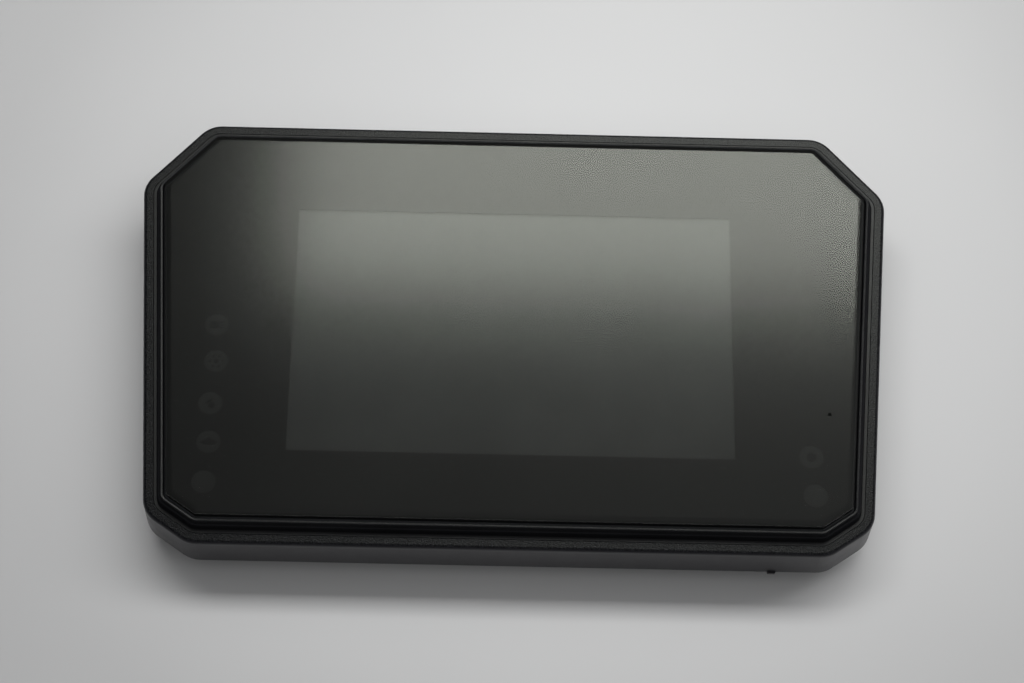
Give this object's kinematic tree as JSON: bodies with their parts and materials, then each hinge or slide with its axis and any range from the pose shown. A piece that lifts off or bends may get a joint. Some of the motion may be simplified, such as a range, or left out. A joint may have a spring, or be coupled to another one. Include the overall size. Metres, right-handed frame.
{
  "type": "instrument cluster",
  "caption": "Slim eight-sided motorcycle display cluster: framed anti-glare glass over a wide screen and warning lamps, rear threaded bosses and a sealed harness socket.",
  "frame": {"origin": "centre of the footprint on the plane of the three rear mounting boss faces", "axes": "+X to the reader's right, +Y towards the display's upper edge, +Z out of the display face"},
  "size_m": [0.1882, 0.1141, 0.023],
  "materials": {
    "frame_plastic": "textured black glass-filled plastic",
    "bezel_plastic": "fine-textured black plastic",
    "rear_plastic": "black glass-filled plastic",
    "cover_glass": "anti-glare glass",
    "black_print": "black screen print",
    "smoked_film": "smoked diffuser film",
    "black_tape": "black acrylic foam tape",
    "polarizer": "dark polariser film",
    "lcd_glass": "laminated display glass",
    "white_plastic": "white reflective plastic",
    "can_steel": "stamped stainless steel",
    "diffuser_film": "white optical film",
    "clear_acrylic": "clear acrylic",
    "reflector": "silver reflector film",
    "lamp_strip": "white circuit strip with lamps",
    "foam": "black microcellular foam",
    "carrier_plastic": "dark grey glass-filled plastic",
    "zinc_steel": "zinc-plated steel",
    "circuit_board": "green solder mask",
    "chip_epoxy": "black moulding compound",
    "ferrite": "grey ferrite",
    "capacitor_can": "aluminium can",
    "lamp_body": "white lamp body",
    "flex_film": "amber polyimide film",
    "connector_beige": "natural connector plastic",
    "latch_plastic": "dark brown connector plastic",
    "socket_plastic": "black connector plastic",
    "tinned_brass": "tin-plated brass",
    "seal_rubber": "brown silicone rubber",
    "gasket_rubber": "black silicone rubber",
    "screw_steel": "black-passivated steel",
    "brass": "machined brass",
    "membrane": "white porous membrane"
  },
  "bodies": {
    "cluster": {"front_frame": "frame_plastic", "lens_bezel": "bezel_plastic", "bezel_seal": "gasket_rubber", "cover_glass": "cover_glass", "glass_tape": "black_tape", "mask_film": "black_print", "telltale_diffuser_left": "smoked_film", "telltale_diffuser_right": "smoked_film", "lcd_bond_tape": "black_tape", "lcd_polarizer": "polarizer", "lcd_cell": "lcd_glass", "backlight_mid_frame": "white_plastic", "backlight_can": "can_steel", "optical_films": "diffuser_film", "light_guide_plate": "clear_acrylic", "backlight_reflector": "reflector", "backlight_led_bar": "lamp_strip", "lcd_cushion": "foam", "display_carrier": "carrier_plastic", "carrier_screws": "zinc_steel", "telltale_light_box_left": "white_plastic", "telltale_light_box_right": "white_plastic", "telltale_leds": "lamp_body", "ambient_light_sensor": "chip_epoxy", "sensor_light_pipe": "clear_acrylic", "main_board": "circuit_board", "board_screws": "zinc_steel", "microcontroller": "chip_epoxy", "memory_chips": "chip_epoxy", "bus_transceiver": "chip_epoxy", "power_inductors": "ferrite", "buffer_capacitors": "capacitor_can", "voltage_regulator": "chip_epoxy", "lcd_flex": "flex_film", "flex_connector": "connector_beige", "connector_shroud": "socket_plastic", "connector_pins": "tinned_brass", "connector_seal": "seal_rubber", "rear_housing": "rear_plastic", "housing_gasket": "gasket_rubber", "housing_screws": "screw_steel", "mount_inserts": "brass", "vent_membrane": "membrane", "vent_cap": "rear_plastic"},
    "ribbon_latch": {"flex_connector_latch": "latch_plastic"}
  },
  "joints": [
    {"name": "ribbon_latch_flip", "type": "hinge", "parent": "cluster", "child": "ribbon_latch", "pos_m": [-0.028, -0.03406, 0.0088], "axis": [1, 0, 0], "range_deg": [0, 90]}
  ]
}
